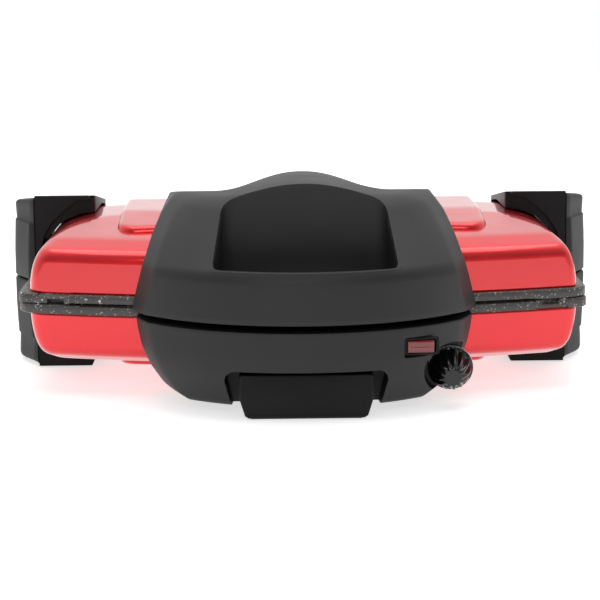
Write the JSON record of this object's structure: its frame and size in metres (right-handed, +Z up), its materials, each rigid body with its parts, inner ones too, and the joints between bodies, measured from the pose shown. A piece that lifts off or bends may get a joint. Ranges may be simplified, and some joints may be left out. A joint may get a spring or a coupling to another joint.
{
  "type": "electric contact grill",
  "caption": "Electric contact grill: two domed red shells with facing ribbed plates, a black bowed handle cover, dial panel and rear leg hinges.",
  "frame": {"origin": "on the worktop, under the middle of the grill's bounding box, lid closed", "axes": "+X to the user's right, -Y towards the user and the handle, +Z up"},
  "size_m": [0.465, 0.33, 0.163],
  "materials": {
    "red_enamel": "glossy metallic red paint",
    "black_moulding": "finely textured black",
    "leg_moulding": "smooth satin black",
    "granite_coat": "cast, non-stick coat with pale specks",
    "gloss_black": "glossy black",
    "red_lens": "clear red",
    "rod_sheath": "oxidised sheath",
    "bright_steel": "zinc plated",
    "sheet_aluminium": "mill finish",
    "rubber_pad": "matte",
    "insulator": "cream moulding"
  },
  "bodies": {
    "base": {"lower_shell": "red_enamel", "front_panel": "black_moulding", "front_foot": "black_moulding", "front_foot_pad": "rubber_pad", "base_leg_left": "leg_moulding", "base_leg_right": "leg_moulding", "base_leg_cover_left": "leg_moulding", "base_leg_cover_right": "leg_moulding", "rear_foot_pads": "rubber_pad", "lower_plate": "granite_coat", "lower_element": "rod_sheath", "lower_reflector": "sheet_aluminium", "lower_element_clips": "bright_steel", "thermostat": "insulator", "knob_ring": "bright_steel", "switch_housing": "gloss_black", "switch_bezel": "gloss_black", "terminal_block": "insulator", "thermal_fuse": "insulator", "cord_gland": "leg_moulding", "panel_screws": "bright_steel", "base_leg_screws": "bright_steel", "hinge_pins": "bright_steel"},
    "lid": {"upper_shell": "red_enamel", "lid_cover": "black_moulding", "handle_underside": "black_moulding", "upper_plate": "granite_coat", "upper_element": "rod_sheath", "upper_reflector": "sheet_aluminium", "upper_element_clips": "bright_steel", "lid_leg_left": "leg_moulding", "lid_leg_right": "leg_moulding", "lid_leg_cover_left": "leg_moulding", "lid_leg_cover_right": "leg_moulding", "lid_leg_screws": "bright_steel"},
    "knob": {"control_knob": "gloss_black", "thermostat_shaft": "bright_steel"},
    "rocker": {"rocker_switch": "red_lens"}
  },
  "joints": [
    {"name": "lid_hinge", "type": "hinge", "parent": "base", "child": "lid", "pos_m": [0, 0.152, 0.069], "axis": [-1, 0, 0], "range_deg": [0, 170]},
    {"name": "knob_turn", "type": "hinge", "parent": "base", "child": "knob", "pos_m": [0.105, -0.10372, 0.027], "axis": [0, 0.9903, 0.1392], "range_deg": [0, 270]},
    {"name": "rocker_tilt", "type": "hinge", "parent": "base", "child": "rocker", "pos_m": [0.08038, -0.13557, 0.0495], "axis": [0, 0, 1], "range_deg": [0, 16]}
  ]
}
